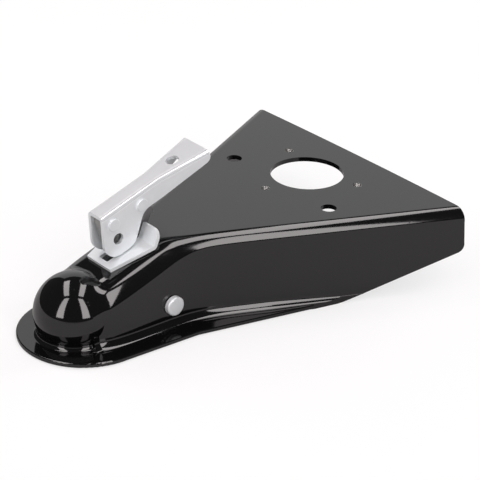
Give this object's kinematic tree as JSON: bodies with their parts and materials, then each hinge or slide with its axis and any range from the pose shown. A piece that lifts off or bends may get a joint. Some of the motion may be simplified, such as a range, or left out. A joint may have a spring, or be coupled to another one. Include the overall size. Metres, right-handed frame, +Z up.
{
  "type": "trailer coupling head",
  "caption": "Pressed-steel A-frame trailer coupling head with a domed ball socket, flat brim, jack plate, cam lever latch with finger pawl, draw bolt and hinged ball clamp",
  "frame": {"origin": "the centre of the hitch ball in the socket", "axes": "+Z up, +Y rearwards towards the trailer along the tow direction, +X to the right seen from behind the trailer"},
  "size_m": [0.2709, 0.3525, 0.1365],
  "materials": {
    "black_paint": "gloss",
    "bright_zinc": "satin",
    "dull_zinc": "satin",
    "dark_forging": "matt",
    "spring_wire": "satin",
    "nylon": "satin"
  },
  "bodies": {
    "shell": {"coupler_body": "black_paint", "saddle_plate": "bright_zinc", "clamp_pivot_pin": "bright_zinc", "pivot_spacer_right": "dull_zinc", "pivot_spacer_left": "dull_zinc", "clamp_spring_right": "spring_wire", "clamp_spring_left": "spring_wire"},
    "bolt": {"draw_bolt": "dull_zinc", "clamp_washer": "dull_zinc", "adjusting_nut": "dull_zinc", "nut_insert": "nylon"},
    "lever": {"lever": "bright_zinc", "lever_pivot_rivet": "bright_zinc", "pivot_washer_right": "dull_zinc", "pivot_washer_left": "dull_zinc", "pawl_rivet": "bright_zinc", "pawl_spring": "spring_wire"},
    "pawl": {"lock_pawl": "dark_forging"},
    "clamp": {"ball_clamp": "dark_forging"}
  },
  "joints": [
    {"name": "bolt_drop", "type": "slide", "parent": "shell", "child": "bolt", "axis": [0, 0.309, -0.9511], "range_m": [0, 0.0055]},
    {"name": "lever_swing", "type": "hinge", "parent": "bolt", "child": "lever", "pos_m": [0, 0.0326, 0.07126], "axis": [1, 0, 0], "range_deg": [0, 75]},
    {"name": "pawl_squeeze", "type": "hinge", "parent": "lever", "child": "pawl", "pos_m": [0, 0.06056, 0.08035], "axis": [1, 0, 0], "range_deg": [0, 7], "stiffness_Nm_per_rad": 0.5, "springref_deg": -20.05},
    {"name": "clamp_swing", "type": "hinge", "parent": "shell", "child": "clamp", "pos_m": [0, 0.07, -0.0015], "axis": [1, 0, 0], "range_deg": [0, 23.5]}
  ],
  "couplings": [
    {"joint": "bolt_drop", "follows": "lever_swing", "m_per_rad": 0.0042017},
    {"joint": "clamp_swing", "follows": "lever_swing", "ratio": 0.31333}
  ]
}
